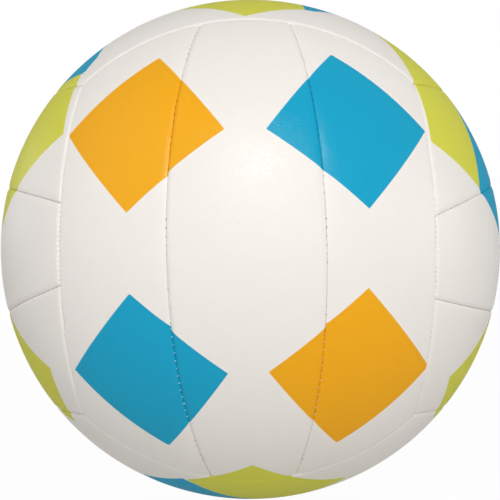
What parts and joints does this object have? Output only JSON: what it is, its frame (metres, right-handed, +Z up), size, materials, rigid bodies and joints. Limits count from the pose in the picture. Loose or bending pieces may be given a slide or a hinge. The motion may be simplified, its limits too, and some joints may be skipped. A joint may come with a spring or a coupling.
{
  "type": "volleyball",
  "caption": "Volleyball with a sewn cover of pillowed strips in crossed groups, printed with plain diamonds, over an air bladder with a rubber valve.",
  "frame": {"origin": "centre of the ball", "axes": "+Z up as pictured, -Y towards the viewer, +Y out through the valve at the back"},
  "size_m": [0.21, 0.2099, 0.21],
  "materials": {
    "cover_leather": "matte synthetic leather with a fine pebble grain",
    "foam_backing": "foam with a cloth face",
    "seam_thread": "twisted sewing thread",
    "bladder_rubber": "matte butyl rubber",
    "valve_rubber": "satin moulded rubber",
    "core_rubber": "smooth soft rubber",
    "washer_cloth": "woven reinforcing cloth"
  },
  "bodies": {
    "root": {"front_left_panel": "cover_leather", "front_centre_panel": "cover_leather", "front_right_panel": "cover_leather", "back_right_panel": "cover_leather", "back_centre_panel": "cover_leather", "back_left_panel": "cover_leather", "right_lower_panel": "cover_leather", "right_centre_panel": "cover_leather", "right_upper_panel": "cover_leather", "left_upper_panel": "cover_leather", "left_centre_panel": "cover_leather", "left_lower_panel": "cover_leather", "top_back_panel": "cover_leather", "top_centre_panel": "cover_leather", "top_front_panel": "cover_leather", "bottom_front_panel": "cover_leather", "bottom_centre_panel": "cover_leather", "bottom_back_panel": "cover_leather", "front_left_backing": "foam_backing", "front_centre_backing": "foam_backing", "front_right_backing": "foam_backing", "back_right_backing": "foam_backing", "back_centre_backing": "foam_backing", "back_left_backing": "foam_backing", "right_lower_backing": "foam_backing", "right_centre_backing": "foam_backing", "right_upper_backing": "foam_backing", "left_upper_backing": "foam_backing", "left_centre_backing": "foam_backing", "left_lower_backing": "foam_backing", "top_back_backing": "foam_backing", "top_centre_backing": "foam_backing", "top_front_backing": "foam_backing", "bottom_front_backing": "foam_backing", "bottom_centre_backing": "foam_backing", "bottom_back_backing": "foam_backing", "front_seam_thread": "seam_thread", "back_seam_thread": "seam_thread", "right_seam_thread": "seam_thread", "left_seam_thread": "seam_thread", "top_seam_thread": "seam_thread", "bottom_seam_thread": "seam_thread", "bladder": "bladder_rubber", "valve_body": "valve_rubber", "valve_core": "core_rubber", "valve_washer": "washer_cloth"}
  },
  "joints": []
}
